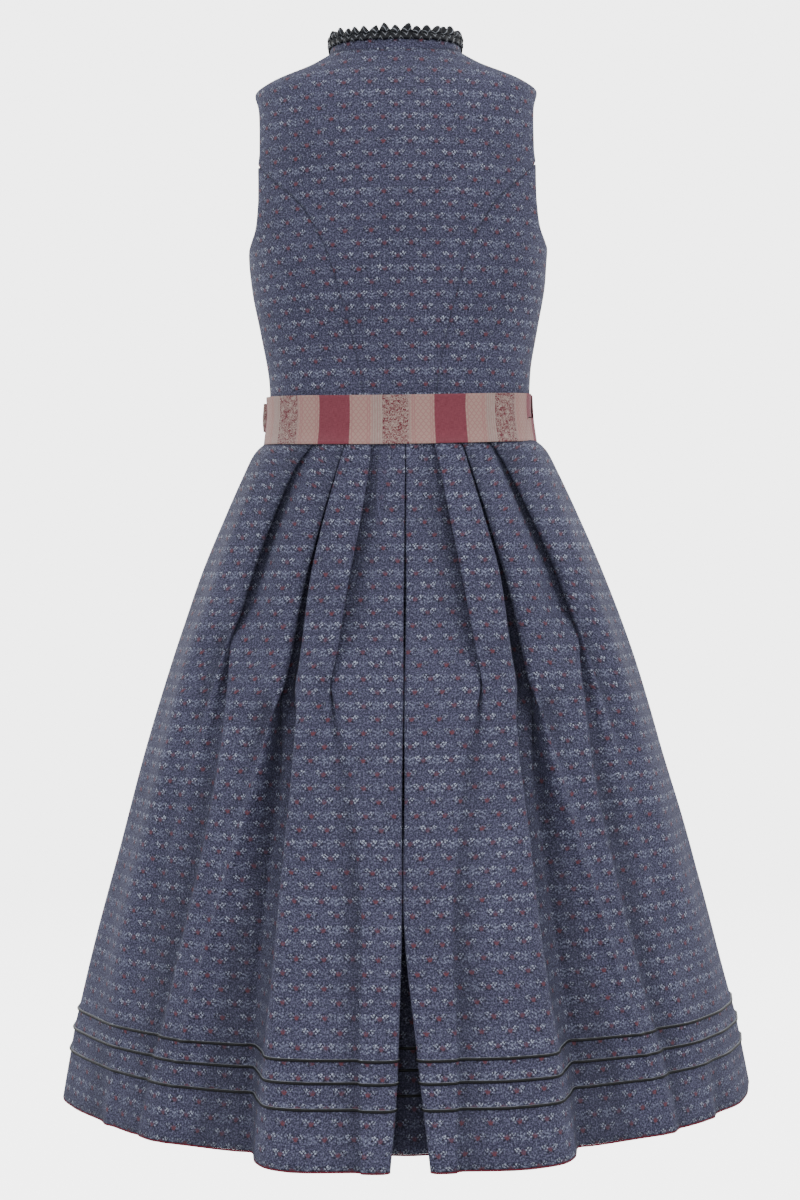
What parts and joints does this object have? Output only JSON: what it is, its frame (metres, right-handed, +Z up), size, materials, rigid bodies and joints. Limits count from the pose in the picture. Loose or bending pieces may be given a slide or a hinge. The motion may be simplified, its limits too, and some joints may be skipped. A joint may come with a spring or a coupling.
{
  "type": "sleeveless dirndl dress with tied apron, filled out as worn with no wearer",
  "caption": "Sleeveless fitted bodice with ruched stand collar, pleated midi skirt with piped hem, and a striped apron tied round the waist.",
  "frame": {"origin": "midway between the shoulder seams, at the height of their middles, where the wearer carries the dress", "axes": "+Z up, the dress's front faces -Y and its back +Y, the wearer's left is +X"},
  "size_m": [0.7072, 0.6597, 1.0882],
  "materials": {
    "jacquard": "woven jacquard, slate blue with small flowers, slight sheen",
    "satin_piping": "black satin piping",
    "hem_tape": "dark red woven tape",
    "ruche_ribbon": "ruched black ribbon with pale edges",
    "apron_stripe": "woven stripes of raspberry red, beige and flowers",
    "button_metal": "dull old silver"
  },
  "bodies": {
    "root": {"bodice_back_centre": "jacquard", "bodice_back_side_l": "jacquard", "bodice_back_side_r": "jacquard", "bodice_front_centre_l": "jacquard", "bodice_front_centre_r": "jacquard", "bodice_front_side_l": "jacquard", "bodice_front_side_r": "jacquard", "button_band": "jacquard", "button_1": "button_metal", "button_2": "button_metal", "button_3": "button_metal", "button_4": "button_metal", "button_5": "button_metal", "button_6": "button_metal", "button_7": "button_metal", "collar_stand": "jacquard", "neck_ruche": "ruche_ribbon", "skirt_back": "jacquard", "skirt_front_l": "jacquard", "skirt_front_r": "jacquard", "piping_1": "satin_piping", "piping_2": "satin_piping", "piping_3": "satin_piping", "hem_tape": "hem_tape", "apron_panel": "apron_stripe", "apron_waistband": "apron_stripe", "apron_tie_l": "apron_stripe", "apron_tie_r": "apron_stripe", "bow_knot": "apron_stripe", "bow_loop_l": "apron_stripe", "bow_loop_r": "apron_stripe", "bow_tail_l": "apron_stripe", "bow_tail_r": "apron_stripe"}
  },
  "joints": []
}
